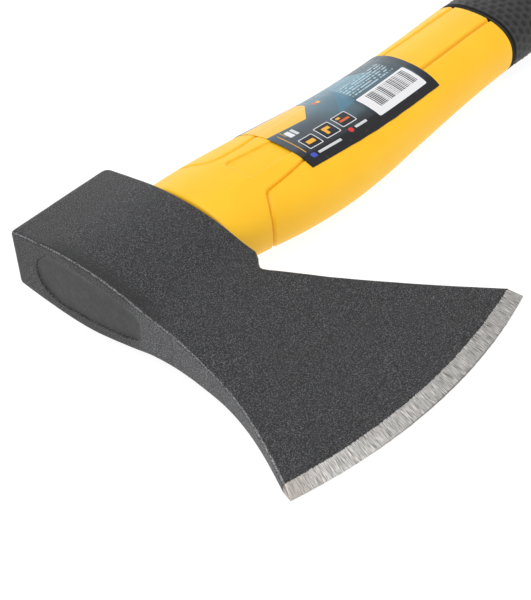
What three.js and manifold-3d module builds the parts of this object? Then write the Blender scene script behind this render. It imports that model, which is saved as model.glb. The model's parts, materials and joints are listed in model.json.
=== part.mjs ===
// A hand axe: a forged steel head on a glass-fibre cored handle with a moulded jacket, a rubber grip
// and a wrapped label. Millimetres, +Z up. The axe lies on its side, as it rests on a bench.
//
// Axe frame, used by every function below: +X runs from the end face of the head to the butt of the
// handle, the cutting edge is towards -y, and z = 0 is the plane that splits the axe into two equal
// halves. Reach is the distance in front of y = 0, a plane just inside the flat poll, so y = -reach.
import * as THREE from 'three';
import { mergeVertices } from 'three/addons/utils/BufferGeometryUtils.js';
import Module from 'manifold-3d';

const wasm = await Module();
wasm.setup();

// ---- Driving dimensions ----
const overallLength = 360; // end face of the head to the butt of the handle
const headReach = 148; // reach of the middle of the cutting edge
const pollReach = -1.1; // reach of the flat poll
const clearance = 0.3; // gap between neighbouring pieces
const restRoll = 7; // degrees that the axe rolls to bring its cutting edge down to the bench

// Cutting edge and ground bevel, between the toe and the heel.
const toe = { x: -23, reach: 139.1 };
const heel = { x: 86.4, reach: 141.1 };
const edgeHalfThickness = 0.15;
const bevelWidth = 5.6;
const bevelStart = 135.6; // reach of the inner line of the bevel, between its ends
const bevelLean = 0.7; // how much further the bevel starts at the heel, and less far at the toe

// Head: half thickness, end line and underside, each against reach.
const cheekHalfThickness = smoothLine([
  [0, 11], [11.8, 12.5], [25.5, 13.7], [38, 13.2], [52, 10.8], [61.7, 8.5],
  [73.5, 7], [92, 5.1], [107, 3.8], [121.5, 2.8], [bevelStart, 2.1],
]);
const endLine = smoothLine([
  [0, 0], [30, 0], [61.7, 0], [73.5, -0.6], [87.2, -2.7], [102, -6], [115.6, -11.1], [130.3, -18.4],
  [bevelStart, -21.3],
]);
const undersideLine = straightLine([
  [0, 43.8], [20.6, 44.6], [42.1, 45.3], [51, 45.5], [66.6, 45], [69.1, 43.4], [71, 41.5], [72.5, 40.5],
  [73.6, 40.6], [75.3, 41.6], [77.4, 43.1], [92.1, 52.9], [106.8, 63.5], [121.5, 74.4], [bevelStart, 85],
]);
const bladeStart = 77.4; // reach where the sections begin to bow towards the cutting edge
const pollEdgeRounding = 2.4; // between the poll and the cheeks
const pollCornerRounding = 4; // between the poll and the underside
const pollEndRounding = 2.4; // between the poll and the end face
const edgeRounding = 1.6;

// Eye: a through hole with a round end by the poll and a blunt end by the blade.
const eyeStart = 10.5;
const eyeEnd = 57.7;
const eyeHalfWidth = 9.3;
const eyeEndHalfWidth = 5;
const eyeEndBulge = 1.4; // how far the sides still swell just before the blunt end
const eyeEndRounding = 3;
const fillerSink = 0.7; // depth of the filler below the end face
const fillerCover = 5; // thickness of filler over the tip of the core
const fillerEnd = 42.5;

// Core: a straight bar with rounded edges.
const coreReach = 39;
const coreWidth = 20;
const coreThickness = 12;
const coreEnd = 285;

// Handle: reach of its centre, half width and half thickness, each against x.
const handleReach = smoothLine([
  [30, 33.3], [42, 34.6], [60, 36.8], [77, 39.75], [97, 42.45], [116, 43.9], [140, 43.8], [170, 42.8],
  [196, 42], [212, 42.3], [240, 42], [280, 42.2], [320, 46], [overallLength, 52],
]);
const handleHalfWidth = smoothLine([
  [30, 20.2], [42, 21.1], [60, 22.3], [77, 23.1], [97, 22.8], [116, 21.3], [140, 19.7], [170, 18.8],
  [196, 18.9], [212, 19.2], [240, 19], [280, 18.8], [320, 19.5], [345, 22.5], [overallLength, 23.5],
]);
const handleHalfThickness = smoothLine([
  [30, 13.1], [42, 13.6], [60, 14.2], [77, 14.7], [97, 14.7], [116, 14.3], [140, 13.6], [170, 13],
  [196, 12.7], [240, 12.5], [280, 12.7], [320, 13.4], [overallLength, 14.2],
]);
const sectionExponent = 2.3; // superellipse: 2 is an ellipse, and larger is squarer
const sectionPoints = 40;
const stationStep = 13; // longest distance between two sections of the handle
const gripStart = 198;
const gripWall = 2.6;
const tailEnd = 308; // end of the jacket's tail, inside the grip
const buttRounding = 9;

// Hanging slot through the butt.
const hangSlot = { x: 338, reach: 48.5, length: 20, width: 12 };

// Label: a film that wraps over the back of the handle, measured round the section from its crown.
const labelStart = 85.5;
const labelEnd = 154;
const labelFront = 15.9;
const labelBack = -34;
const labelThickness = 0.4;

// Tools that cut right through reach this far beyond the solid that they cut.
const overrun = 5;

// ---- Lines through a few [place, value] points ----
function smoothLine(points) {
  return lineThrough(THREE.CubicInterpolant, points);
}

function straightLine(points) {
  return lineThrough(THREE.LinearInterpolant, points);
}

function lineThrough(Interpolant, points) {
  const places = points.map(([place]) => place);
  const values = points.map(([, value]) => value);
  const line = new Interpolant(places, values, 1, new Float64Array(1));
  return (place) => line.evaluate(place)[0];
}

// ---- Solids ----
// Joins rings of points and closes both ends. Each ring turns right-handed about the way to the next,
// and its first half lies over its second half, so that an end is closed by zipping the halves.
function loft(rings) {
  const count = rings[0].length;
  const points = rings.flat();
  const faces = [];
  for (let start = 0; start < points.length - count; start += count) {
    for (let at = 0; at < count; at += 1) {
      const a = start + at;
      const b = start + ((at + 1) % count);
      faces.push(a, b, b + count);
      faces.push(a, b + count, a + count);
    }
  }
  const lastRing = points.length - count;
  for (let at = 0; at < count / 2 - 1; at += 1) {
    const across = count - 1 - at;
    faces.push(at, across - 1, at + 1);
    faces.push(at, across, across - 1);
    faces.push(lastRing + at, lastRing + at + 1, lastRing + across - 1);
    faces.push(lastRing + at, lastRing + across - 1, lastRing + across);
  }
  const geometry = new THREE.BufferGeometry().setFromPoints(points);
  geometry.setIndex(faces);
  return geometry;
}

function toSolid(geometry) {
  const bare = geometry.clone();
  bare.deleteAttribute('normal');
  bare.deleteAttribute('uv');
  const merged = mergeVertices(bare);
  const mesh = new wasm.Mesh({
    numProp: 3,
    vertProperties: new Float32Array(merged.attributes.position.array),
    triVerts: new Uint32Array(merged.index.array),
  });
  return new wasm.Manifold(mesh);
}

function cut(base, ...tools) {
  const solid = tools.reduce((rest, tool) => rest.subtract(toSolid(tool)), toSolid(base));
  const mesh = solid.getMesh();
  const geometry = new THREE.BufferGeometry();
  geometry.setAttribute('position', new THREE.BufferAttribute(new Float32Array(mesh.vertProperties), 3));
  geometry.setIndex(new THREE.BufferAttribute(new Uint32Array(mesh.triVerts), 1));
  return geometry;
}

// Extrudes an outline drawn in (reach, z) along X.
function extrudeAlong(shape, fromX, toX) {
  const geometry = new THREE.ExtrudeGeometry(shape, { depth: toX - fromX, bevelEnabled: false });
  const reachAxis = new THREE.Vector3(0, -1, 0);
  const upAxis = new THREE.Vector3(0, 0, 1);
  const depthAxis = new THREE.Vector3(-1, 0, 0);
  geometry.applyMatrix4(new THREE.Matrix4().makeBasis(reachAxis, upAxis, depthAxis));
  return geometry.translate(toX, 0, 0);
}

// Extrudes an outline drawn in (x, y) right through the axe, which is half as thick as the depth.
function extrudeThrough(shape) {
  const depth = 60;
  const geometry = new THREE.ExtrudeGeometry(shape, { depth, bevelEnabled: false, curveSegments: 8 });
  return geometry.translate(0, 0, -depth / 2);
}

// A bar's outline with semicircular ends, centred on (x, y), long in x.
function stadium(x, y, length, width) {
  const radius = width / 2;
  const straight = length / 2 - radius;
  const shape = new THREE.Shape();
  shape.absarc(x + straight, y, radius, -Math.PI / 2, Math.PI / 2);
  shape.absarc(x - straight, y, radius, Math.PI / 2, 1.5 * Math.PI);
  return shape;
}

// ---- Axe head ----
// One section of the head. It runs over the upper cheek to the end face and back along the lower one.
function headRing({ endX, undersideX, reachAt, half }) {
  const rounding = Math.min(edgeRounding, half * 0.6);
  const cheekSteps = 8;
  const cornerSteps = 3;
  const upper = [];
  for (let step = 0; step <= cornerSteps; step += 1) {
    const turn = (step / cornerSteps) * (Math.PI / 2);
    upper.push([undersideX - rounding * (1 - Math.cos(turn)), half - rounding * (1 - Math.sin(turn))]);
  }
  for (let step = 1; step < cheekSteps; step += 1) {
    upper.push([THREE.MathUtils.lerp(undersideX - rounding, endX + rounding, step / cheekSteps), half]);
  }
  for (let step = 0; step <= cornerSteps; step += 1) {
    const turn = (step / cornerSteps) * (Math.PI / 2);
    upper.push([endX + rounding * (1 - Math.sin(turn)), half - rounding * (1 - Math.cos(turn))]);
  }
  const lower = upper.map(([x, z]) => [x, -z]).reverse();
  return [...upper, ...lower].map(([x, z]) => {
    const across = (x - endX) / (undersideX - endX);
    return new THREE.Vector3(x, -reachAt(across), z);
  });
}

// How far a rounded edge stands back at a depth below the face that it starts from.
function standBack(rounding, depth) {
  const rest = Math.max(rounding - depth, 0);
  return rounding - Math.sqrt(rounding ** 2 - rest ** 2);
}

function pollRings() {
  const steps = 4;
  return Array.from({ length: steps }, (_, step) => {
    const turn = (step / steps) * (Math.PI / 2);
    const depth = pollCornerRounding * (1 - Math.cos(turn));
    const reach = pollReach + depth;
    return headRing({
      endX: endLine(reach) + standBack(pollEndRounding, depth),
      undersideX: undersideLine(reach) - standBack(pollCornerRounding, depth),
      reachAt: () => reach,
      half: cheekHalfThickness(reach) - standBack(pollEdgeRounding, depth),
    });
  });
}

function cheekRings() {
  const afterPoll = pollReach + pollCornerRounding;
  const reaches = [afterPoll, 7, 12, 19, 25.5, 31, 38, 45, 51, 56, 61.7, 66.6, 69.1, 71, 72.5, 73.6, 75.3];
  return reaches.map((reach) => headRing({
    endX: endLine(reach),
    undersideX: undersideLine(reach),
    reachAt: () => reach,
    half: cheekHalfThickness(reach),
  }));
}

// Sections of the blade bow more and more, until the last one follows the cutting edge.
function bladeRings() {
  const steps = 6;
  const fullBow = headReach - bevelWidth - bevelStart;
  return Array.from({ length: steps + 1 }, (_, step) => {
    const share = step / steps;
    const reach = THREE.MathUtils.lerp(bladeStart, bevelStart, share);
    const grown = share ** 1.5;
    return headRing({
      endX: endLine(reach),
      undersideX: undersideLine(reach),
      reachAt: (across) => {
        const lean = bevelLean * (2 * across - 1);
        return reach + grown * (fullBow * 4 * across * (1 - across) + lean);
      },
      half: cheekHalfThickness(reach),
    });
  });
}

function edgeRing() {
  const bow = headReach - (toe.reach + heel.reach) / 2;
  const straight = (across) => THREE.MathUtils.lerp(toe.reach, heel.reach, across);
  return headRing({
    endX: toe.x,
    undersideX: heel.x,
    reachAt: (across) => straight(across) + bow * 4 * across * (1 - across),
    half: edgeHalfThickness,
  });
}

function eyeOutline(inset = 0) {
  const start = eyeStart + inset;
  const end = eyeEnd - inset;
  const half = eyeHalfWidth - inset;
  const endHalf = eyeEndHalfWidth - inset;
  const widest = eyeStart + eyeHalfWidth * 1.3;
  const corner = end - eyeEndRounding / 2;
  const straightHalf = endHalf - eyeEndRounding;
  const bulge = endHalf + eyeEndBulge;
  const shape = new THREE.Shape();
  shape.moveTo(start, 0);
  shape.bezierCurveTo(start, -half * 0.6, start + half * 0.5, -half, widest, -half);
  shape.bezierCurveTo(widest + half * 1.6, -half, end - half * 0.4, -bulge, corner, -endHalf);
  shape.quadraticCurveTo(end, -endHalf + 1, end, -straightHalf);
  shape.lineTo(end, straightHalf);
  shape.quadraticCurveTo(end, endHalf - 1, corner, endHalf);
  shape.bezierCurveTo(end - half * 0.4, bulge, widest + half * 1.6, half, widest, half);
  shape.bezierCurveTo(start + half * 0.5, half, start, half * 0.6, start, 0);
  return shape;
}

function axeHead() {
  const forging = loft([...pollRings(), ...cheekRings(), ...bladeRings(), edgeRing()]);
  const throughEye = extrudeAlong(eyeOutline(), -overrun, undersideLine(eyeEnd) + overrun);
  const material = new THREE.MeshStandardMaterial({ color: 0x4d4e51, roughness: 0.75, metalness: 0.2 });
  return namedMesh('axe_head', cut(forging, throughEye), material);
}

function namedMesh(name, geometry, material) {
  const mesh = new THREE.Mesh(geometry, material);
  mesh.name = name;
  return mesh;
}

// ---- Core and eye filler ----
function coreOutline(grow = 0) {
  return stadium(coreReach, 0, coreWidth + 2 * grow, coreThickness + 2 * grow);
}

function handleCore() {
  const bar = extrudeAlong(coreOutline(), fillerSink + fillerCover + clearance, coreEnd);
  const material = new THREE.MeshStandardMaterial({ color: 0xd8cfa8, roughness: 0.5, metalness: 0 });
  return namedMesh('handle_core', bar, material);
}

function eyeFiller() {
  const plug = extrudeAlong(eyeOutline(clearance), fillerSink, fillerEnd);
  const coreSocket = extrudeAlong(coreOutline(clearance), fillerSink + fillerCover, fillerEnd + overrun);
  const material = new THREE.MeshStandardMaterial({ color: 0x4a4a4c, roughness: 0.45, metalness: 0 });
  return namedMesh('eye_filler', cut(plug, coreSocket), material);
}

// ---- Handle ----
// A point on the handle's section. Angle 0 is the back, 90 degrees the crown, 180 degrees the front.
function handlePoint(x, angle, grow = 0) {
  const power = 2 / sectionExponent;
  const across = Math.sign(Math.cos(angle)) * Math.abs(Math.cos(angle)) ** power;
  const up = Math.sign(Math.sin(angle)) * Math.abs(Math.sin(angle)) ** power;
  const y = -handleReach(x) + across * (handleHalfWidth(x) + grow);
  return new THREE.Vector3(x, y, up * (handleHalfThickness(x) + grow));
}

function handleRing(x, grow = 0) {
  return Array.from({ length: sectionPoints }, (_, step) => {
    const angle = (step / sectionPoints) * 2 * Math.PI;
    return handlePoint(x, angle, grow);
  });
}

// Evenly spaced stations, with both ends, no further apart than the step.
function stations(from, to, step) {
  const count = Math.ceil((to - from) / step);
  return Array.from({ length: count + 1 }, (_, at) => from + ((to - from) * at) / count);
}

// Everything on the head's side of the joint between head and handle.
function headSide() {
  const reaches = [66.6, 51, 42.1, 20.6, 0];
  const outline = new THREE.Shape();
  outline.moveTo(-overrun, overrun);
  outline.lineTo(-overrun, -reaches[0] - overrun);
  outline.lineTo(undersideLine(reaches[0]) + clearance, -reaches[0] - overrun);
  reaches.forEach((reach) => outline.lineTo(undersideLine(reach) + clearance, -reach));
  outline.lineTo(undersideLine(0) + clearance, overrun);
  return extrudeThrough(outline);
}

function handleBody() {
  const insideEye = 40;
  const jacket = stations(insideEye, gripStart - clearance, stationStep).map((x) => handleRing(x));
  const tailInset = -(gripWall + clearance);
  const tail = stations(gripStart - clearance, tailEnd, stationStep).map((x) => handleRing(x, tailInset));
  const coreSocket = extrudeAlong(coreOutline(clearance), insideEye - overrun, coreEnd + clearance);
  const material = new THREE.MeshStandardMaterial({ color: 0xfdc832, roughness: 0.5, metalness: 0 });
  return namedMesh('handle_body', cut(loft([...jacket, ...tail]), headSide(), coreSocket), material);
}

function buttRings() {
  const steps = 4;
  return Array.from({ length: steps }, (_, step) => {
    const turn = ((step + 1) / steps) * (Math.PI / 2);
    const x = overallLength - buttRounding * (1 - Math.sin(turn));
    return handleRing(x, -buttRounding * (1 - Math.cos(turn)));
  });
}

function rubberGrip() {
  const innerStations = stations(gripStart - overrun, tailEnd + clearance, stationStep);
  const outer = stations(gripStart, overallLength - buttRounding, stationStep).map((x) => handleRing(x));
  const inner = innerStations.map((x) => handleRing(x, -gripWall));
  const slot = stadium(hangSlot.x, -hangSlot.reach, hangSlot.length, hangSlot.width);
  const material = new THREE.MeshStandardMaterial({ color: 0x262628, roughness: 0.8, metalness: 0 });
  const sleeve = cut(loft([...outer, ...buttRings()]), loft(inner), extrudeThrough(slot));
  return namedMesh('grip', sleeve, material);
}

// ---- Label ----
// The section angle at a distance round the surface from the crown, towards the front if positive.
function angleFromCrown(x, distance) {
  const step = THREE.MathUtils.degToRad(1) * Math.sign(distance);
  let angle = Math.PI / 2;
  let walked = 0;
  while (walked < Math.abs(distance)) {
    walked += handlePoint(x, angle).distanceTo(handlePoint(x, angle + step));
    angle += step;
  }
  return angle;
}

// Each ring runs round the label's section: over its outer face, then back under its inner face.
function labelRing(x) {
  const rows = 14;
  const backAngle = angleFromCrown(x, labelBack);
  const frontAngle = angleFromCrown(x, labelFront);
  const angles = Array.from({ length: rows + 1 }, (_, row) => {
    return THREE.MathUtils.lerp(backAngle, frontAngle, row / rows);
  });
  const outer = angles.map((angle) => handlePoint(x, angle, clearance + labelThickness));
  const inner = angles.map((angle) => handlePoint(x, angle, clearance));
  return [...outer, ...inner.reverse()];
}

function wrappedLabel() {
  const film = loft(stations(labelStart, labelEnd, 10).map(labelRing));
  const material = new THREE.MeshStandardMaterial({ color: 0x2f3a42, roughness: 0.35, metalness: 0 });
  return namedMesh('label', film, material);
}

// ---- Assembly ----
const head = new THREE.Group();
head.add(axeHead(), eyeFiller());

const handle = new THREE.Group();
handle.add(handleCore(), handleBody(), rubberGrip(), wrappedLabel());

const axe = new THREE.Group();
axe.add(head, handle);
axe.rotation.x = THREE.MathUtils.degToRad(restRoll);

// The part's origin is the middle of the bottom of its bounding box.
const part = new THREE.Group();
part.add(axe);
part.updateMatrixWorld(true);
const bounds = new THREE.Box3().setFromObject(part, true);
const middle = bounds.getCenter(new THREE.Vector3());
axe.position.set(-middle.x, -middle.y, -bounds.min.z);

export default part;
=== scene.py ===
# A hand axe that lies on a pale floor: its looks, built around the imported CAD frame.
#
# Shapes are drawn in the axe's own frame, in millimetres: +X runs from the end face of the head to the
# butt of the handle, the cutting edge is towards -y, and z = 0 is the mid plane. Reach is the distance
# in front of y = 0, a plane just inside the flat poll, so y = -reach. place() leads to the row frame.
import json
import math

import bmesh
import bpy
import numpy as np
from mathutils import Matrix, Vector, noise
from mathutils.kdtree import KDTree


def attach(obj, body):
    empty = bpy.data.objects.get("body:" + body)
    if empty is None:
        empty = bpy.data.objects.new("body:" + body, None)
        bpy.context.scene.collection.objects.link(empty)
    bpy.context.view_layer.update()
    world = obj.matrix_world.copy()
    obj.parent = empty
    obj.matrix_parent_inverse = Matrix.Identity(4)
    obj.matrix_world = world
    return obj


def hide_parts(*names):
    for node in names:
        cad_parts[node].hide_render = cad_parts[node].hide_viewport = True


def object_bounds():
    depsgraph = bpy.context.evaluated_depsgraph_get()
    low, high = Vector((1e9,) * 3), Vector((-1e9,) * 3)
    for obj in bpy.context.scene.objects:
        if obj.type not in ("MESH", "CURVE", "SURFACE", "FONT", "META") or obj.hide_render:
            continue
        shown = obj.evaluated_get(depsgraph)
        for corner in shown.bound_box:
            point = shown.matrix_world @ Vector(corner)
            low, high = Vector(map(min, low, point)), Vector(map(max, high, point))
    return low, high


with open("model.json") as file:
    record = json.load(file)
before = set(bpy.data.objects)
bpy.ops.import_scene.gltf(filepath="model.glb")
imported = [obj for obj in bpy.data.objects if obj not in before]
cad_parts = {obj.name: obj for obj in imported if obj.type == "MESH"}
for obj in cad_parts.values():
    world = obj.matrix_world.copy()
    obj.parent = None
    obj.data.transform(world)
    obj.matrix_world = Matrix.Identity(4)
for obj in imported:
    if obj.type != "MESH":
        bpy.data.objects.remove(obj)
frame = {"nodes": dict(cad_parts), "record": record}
cad_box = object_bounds()

MM = 0.001
BODY = "root"

# ---- Dimensions of the axe, in millimetres, as the CAD has them ----
HEAD_REACH = 148.0
POLL_REACH = -1.1
BEVEL_WIDTH = 5.6
BEVEL_START = 135.6
BEVEL_LEAN = 0.7
BLADE_START = 77.4
TOE = (-23.0, 139.1)
HEEL = (86.4, 141.1)
EDGE_HALF_THICKNESS = 0.15
POLL_EDGE_ROUNDING = 2.4
POLL_CORNER_ROUNDING = 4.0
POLL_END_ROUNDING = 2.4
EDGE_ROUNDING = 1.1

EYE_START = 10.5
EYE_END = 57.7
EYE_HALF_WIDTH = 9.3
EYE_END_HALF_WIDTH = 5.0
RIM_ROUNDING = 0.7
RESIN_DEPTH = 0.62
RESIN_CREEP = 0.16
RESIN_END = 42.5
RESIN_OVER_CORE = 5.7

CORE_REACH = 39.0
CORE_WIDTH = 20.0
CORE_THICKNESS = 12.0
CORE_END = 285.0
CLEARANCE = 0.3

OVERALL_LENGTH = 360.0
GRIP_START = 198.0
GRIP_WALL = 2.6
TAIL_END = 308.0
BUTT_ROUNDING = 9.0
SLOT_X = 338.0
SLOT_REACH = 48.5
SLOT_LENGTH = 20.0
SLOT_WIDTH = 12.0
SECTION_POWER = 2.3

LABEL_START = 85.5
LABEL_END = 154.0
LABEL_FRONT = 15.9
LABEL_BACK = -34.0
FILM_GAP = 0.07
FILM_THICKNESS = 0.13
FILM_SAG = 0.105
FILM_RIPPLE = 0.015


# ---- Lines through a few (place, value) points ----
def smooth_line(*points):
    """A curve through the points. At an inner point its slope is the mean of the slopes on either side."""
    places, values = np.array(points, float).T
    steps = np.diff(values) / np.diff(places)
    slopes = np.concatenate([steps[:1], (steps[:-1] + steps[1:]) / 2, steps[-1:]])

    def line(place):
        place = np.clip(np.asarray(place, float), places[0], places[-1])
        at = np.clip(np.searchsorted(places, place, side="right") - 1, 0, len(places) - 2)
        width = places[at + 1] - places[at]
        t = (place - places[at]) / width
        start = values[at] * (2 * t**3 - 3 * t**2 + 1) + width * slopes[at] * (t**3 - 2 * t**2 + t)
        end = values[at + 1] * (3 * t**2 - 2 * t**3) + width * slopes[at + 1] * (t**3 - t**2)
        return start + end

    return line


def straight_line(*points):
    places, values = np.array(points, float).T
    return lambda place: np.interp(place, places, values)


cheek_half_thickness = smooth_line(
    (0, 11), (11.8, 12.5), (25.5, 13.7), (38, 13.2), (52, 10.8), (61.7, 8.5),
    (73.5, 7), (92, 5.1), (107, 3.8), (121.5, 2.8), (BEVEL_START, 2.1),
)
end_line = smooth_line(
    (0, 0), (30, 0), (61.7, 0), (73.5, -0.6), (87.2, -2.7), (102, -6), (115.6, -11.1), (130.3, -18.4),
    (BEVEL_START, -21.3),
)
UNDERSIDE_KINKS = [66.6, 69.1, 71, 72.5, 73.6, 75.3, BLADE_START]
underside_line = straight_line(
    (0, 43.8), (20.6, 44.6), (42.1, 45.3), (51, 45.5), (66.6, 45), (69.1, 43.4), (71, 41.5), (72.5, 40.5),
    (73.6, 40.6), (75.3, 41.6), (BLADE_START, 43.1), (92.1, 52.9), (106.8, 63.5), (121.5, 74.4),
    (BEVEL_START, 85),
)
handle_reach = smooth_line(
    (30, 33.3), (42, 34.6), (60, 36.8), (77, 39.75), (97, 42.45), (116, 43.9), (140, 43.8), (170, 42.8),
    (196, 42), (212, 42.3), (240, 42), (280, 42.2), (320, 46), (OVERALL_LENGTH, 52),
)
handle_half_width = smooth_line(
    (30, 20.2), (42, 21.1), (60, 22.3), (77, 23.1), (97, 22.8), (116, 21.3), (140, 19.7), (170, 18.8),
    (196, 18.9), (212, 19.2), (240, 19), (280, 18.8), (320, 19.5), (345, 22.5), (OVERALL_LENGTH, 23.5),
)
handle_half_thickness = smooth_line(
    (30, 13.1), (42, 13.6), (60, 14.2), (77, 14.7), (97, 14.7), (116, 14.3), (140, 13.6), (170, 13),
    (196, 12.7), (240, 12.5), (280, 12.7), (320, 13.4), (OVERALL_LENGTH, 14.2),
)


def smoothstep(low, high, value):
    t = np.clip((np.asarray(value, float) - low) / (high - low), 0, 1)
    return t * t * (3 - 2 * t)


# ---- From the axe's frame to the row frame ----
def axe_frame():
    """The axe's origin and axes in the row frame. One mount lies on the poll and one on the end face."""
    mounts = {mount["name"]: mount for mount in frame["record"]["mounts"]}
    poll, end_face = mounts["poll_face"], mounts["head_end_face"]
    along = -Vector(end_face["axis"])
    across = Vector(poll["axis"])
    poll_point = Vector(poll["pos_m"])
    to_end = Vector(end_face["pos_m"]) - poll_point
    origin = poll_point + along * to_end.dot(along) + across * POLL_REACH * MM
    return np.array(origin), np.array([along, across, along.cross(across)])


ORIGIN, AXES = axe_frame()


def place(points):
    return ORIGIN + np.asarray(points, float) * MM @ AXES


def unplace(points):
    return (np.asarray(points, float) - ORIGIN) @ AXES.T / MM


# ---- Meshes from grids of points ----
def add_object(name, data):
    thing = bpy.data.objects.new(name, data)
    bpy.context.scene.collection.objects.link(thing)
    return thing


def grid_faces(rows, columns):
    index = np.arange(rows * columns).reshape(rows, columns)
    corners = [index[:-1, :-1], index[:-1, 1:], index[1:, 1:], index[1:, :-1]]
    return np.stack(corners, -1).reshape(-1, 4)


def build(name, grids, material, mirrored=False, sharp=50):
    """One closed mesh from grids of points, each (rows, columns, 3), which meet along their borders.
    With mirrored, the grids hold the half above the mid plane, and the other half is added."""
    points, faces, start = [], [], 0
    for grid in grids:
        rows, columns = grid.shape[:2]
        flat = grid.reshape(-1, 3)
        for side in (1, -1) if mirrored else (1,):
            points.append(flat * (1, 1, side))
            faces.append(grid_faces(rows, columns)[:, ::side] + start)
            start += len(flat)
    mesh = bpy.data.meshes.new(name)
    mesh.from_pydata(place(np.concatenate(points)).tolist(), [], np.concatenate(faces).tolist())
    close_up(mesh)
    mesh.materials.append(material)
    shade(mesh, sharp)
    return add_object(name, mesh)


def close_up(mesh):
    """Joins the points that meet, and turns all faces outwards."""
    shape = bmesh.new()
    shape.from_mesh(mesh)
    bmesh.ops.remove_doubles(shape, verts=shape.verts, dist=0.002 * MM)
    bmesh.ops.recalc_face_normals(shape, faces=shape.faces)
    if shape.calc_volume(signed=True) < 0:
        bmesh.ops.reverse_faces(shape, faces=shape.faces)
    shape.to_mesh(mesh)
    shape.free()


def shade(mesh, sharp):
    mesh.polygons.foreach_set("use_smooth", np.ones(len(mesh.polygons), bool))
    mesh.set_sharp_from_angle(angle=math.radians(sharp))


def positions(mesh):
    """The mesh's points in the axe's frame."""
    flat = np.empty(len(mesh.vertices) * 3)
    mesh.vertices.foreach_get("co", flat)
    return unplace(flat.reshape(-1, 3))


def set_positions(mesh, points):
    mesh.vertices.foreach_set("co", place(points).astype(np.float32).ravel())
    mesh.update()


def normals(mesh):
    """The mesh's point normals in the axe's frame."""
    flat = np.empty(len(mesh.vertices) * 3)
    mesh.vertices.foreach_get("normal", flat)
    return flat.reshape(-1, 3) @ AXES.T


def add_uv(mesh, u, v):
    """A UV map in metres, from a u and a v for each point in millimetres."""
    corners = np.empty(len(mesh.loops), int)
    mesh.loops.foreach_get("vertex_index", corners)
    layer = mesh.uv_layers.new(name="surface")
    both = np.stack([u[corners], v[corners]], 1) * MM
    layer.data.foreach_set("uv", both.astype(np.float32).ravel())


def add_value(mesh, name, values):
    mesh.attributes.new(name, "FLOAT", "POINT").data.foreach_set("value", values.astype(np.float32))


def wander(points, size, seed=0.0):
    """Smooth noise from -1 to 1 at the points, with bumps of about that size."""
    shift = Vector((seed, seed * 1.7, seed * 0.6))
    return np.array([noise.noise(Vector(point) / size + shift) for point in points])


def settle(piece, nodes):
    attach(piece, BODY)
    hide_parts(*nodes)


# ---- Axe head ----
def eye_outline(count):
    """(reach, z) points on the upper half of the eye, evenly spaced from its poll end to its blade end."""
    half, end_half = EYE_HALF_WIDTH, EYE_END_HALF_WIDTH
    widest = EYE_START + half * 1.3
    curves = [
        [(EYE_START, 0), (EYE_START, half * 0.6), (EYE_START + half * 0.5, half), (widest, half)],
        [(widest, half), (widest + half * 1.6, half), (EYE_END - half * 0.4, end_half + 1.4),
         (EYE_END - 1.5, end_half)],
        [(EYE_END - 1.5, end_half), (EYE_END, end_half - 1), (EYE_END, end_half - 3)],
        [(EYE_END, end_half - 3), (EYE_END, 0)],
    ]
    t = np.linspace(0, 1, 200)[:, None]
    pieces = []
    for controls in curves:
        controls = [np.array(point, float) for point in controls]
        degree = len(controls) - 1
        weights = [math.comb(degree, k) * t**k * (1 - t) ** (degree - k) for k in range(degree + 1)]
        pieces.append(sum(weight * control for weight, control in zip(weights, controls)))
    line = np.concatenate(pieces)
    walked = np.concatenate([[0], np.cumsum(np.hypot(*np.diff(line, axis=0).T))])
    even = np.linspace(0, walked[-1], count)
    return np.stack([np.interp(even, walked, line[:, axis]) for axis in (0, 1)], 1)


def outward(line):
    """Unit normals of an outline that starts and ends on the mid plane."""
    way = np.gradient(line, axis=0)
    normal = np.stack([-way[:, 1], way[:, 0]], 1)
    normal[0], normal[-1] = (-1, 0), (1, 0)
    return normal / np.linalg.norm(normal, axis=1)[:, None]


def stand_back(rounding, depth):
    """How far a rounded edge stands back at a depth below the face that it starts from."""
    rest = np.maximum(rounding - depth, 0)
    return rounding - np.sqrt(rounding**2 - rest**2)


def head_rows():
    """What changes from row to row down the head: reach at both ends, bow, ends in x and half thickness."""
    poll_turns = np.linspace(0, math.pi / 2, 11)[:-1]
    poll = POLL_REACH + POLL_CORNER_ROUNDING * (1 - np.cos(poll_turns))
    before_eye = np.linspace(POLL_REACH + POLL_CORNER_ROUNDING, 8, 8)[:-1]
    beside_eye = np.linspace(8, 61.5, 96)
    blade = np.union1d(np.linspace(61.5, BEVEL_START, 92)[1:], UNDERSIDE_KINKS)
    reach = np.concatenate([poll, before_eye, beside_eye, blade])
    depth = reach - POLL_REACH
    grown = np.clip((reach - BLADE_START) / (BEVEL_START - BLADE_START), 0, 1) ** 1.5
    rows = np.stack([
        reach - BEVEL_LEAN * grown, reach + BEVEL_LEAN * grown,
        (HEAD_REACH - BEVEL_WIDTH - BEVEL_START) * grown,
        end_line(reach) + stand_back(POLL_END_ROUNDING, depth),
        underside_line(reach) - stand_back(POLL_CORNER_ROUNDING, depth),
        cheek_half_thickness(reach) - stand_back(POLL_EDGE_ROUNDING, depth),
    ], 1)
    edge_bow = HEAD_REACH - (TOE[1] + HEEL[1]) / 2
    edge = np.array([TOE[1], HEEL[1], edge_bow, TOE[0], HEEL[0], EDGE_HALF_THICKNESS])
    bevel = rows[-1] + (edge - rows[-1]) * np.linspace(0, 1, 13)[1:, None]
    first_eye = len(poll) + len(before_eye)
    return np.concatenate([rows, bevel]), first_eye, first_eye + len(beside_eye)


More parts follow.
